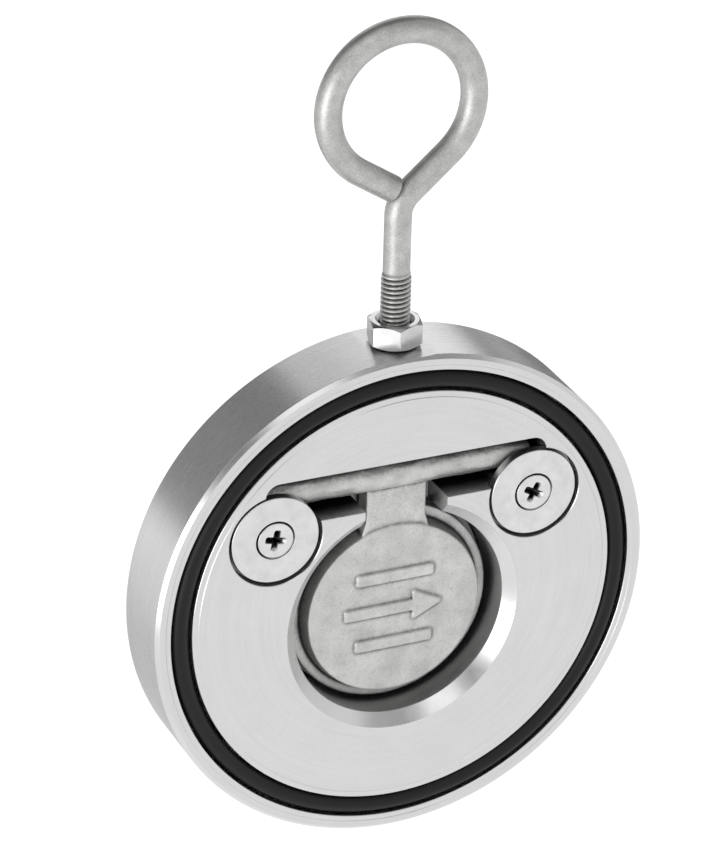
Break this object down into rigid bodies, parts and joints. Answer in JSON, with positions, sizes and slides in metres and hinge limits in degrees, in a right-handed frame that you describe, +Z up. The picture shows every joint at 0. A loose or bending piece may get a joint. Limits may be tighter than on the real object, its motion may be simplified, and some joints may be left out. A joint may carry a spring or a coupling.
{
  "type": "wafer check valve",
  "caption": "Round wafer check valve with a swinging disc hung on a bar, retaining washers, face seals and a lifting eye bolt with a lock nut.",
  "frame": {"origin": "centre of the round body, on the pipe's axis and midway between the two sealing faces", "axes": "+Y along the pipe's axis against the flow, so the downstream face looks along -Y; +Z up, along the eye bolt's stem; +X along the hinge bar"},
  "size_m": [0.107, 0.0174, 0.1755],
  "materials": {
    "turned_body_steel": "lathe turned",
    "cast_disc_steel": "matte casting",
    "washer_steel": "satin",
    "screw_steel": "satin",
    "bent_rod_steel": "pickled",
    "nut_steel": "bright",
    "seal_rubber": "satin black"
  },
  "bodies": {
    "body": {"valve_body": "turned_body_steel", "downstream_face_seal": "seal_rubber", "upstream_face_seal": "seal_rubber", "left_retaining_washer": "washer_steel", "right_retaining_washer": "washer_steel", "left_washer_screw": "screw_steel", "right_washer_screw": "screw_steel"},
    "swing_disc": {"disc": "cast_disc_steel", "disc_seal": "seal_rubber"},
    "lifting_eye": {"eye_bolt": "bent_rod_steel"},
    "nut": {"lock_nut": "nut_steel"}
  },
  "joints": [
    {"name": "disc_swing", "type": "hinge", "parent": "body", "child": "swing_disc", "pos_m": [0, -0.0026, 0.0258], "axis": [-1, 0, 0], "range_deg": [0, 75]},
    {"name": "eye_bolt_turn", "type": "hinge", "parent": "body", "child": "lifting_eye", "pos_m": [0, 0, 0.06], "axis": [0, 0, 1], "range_deg": [-90, 90]},
    {"name": "lock_nut_turn", "type": "hinge", "parent": "body", "child": "nut", "pos_m": [0, 0, 0.056], "axis": [0, 0, 1], "range_deg": [0, 180]}
  ]
}
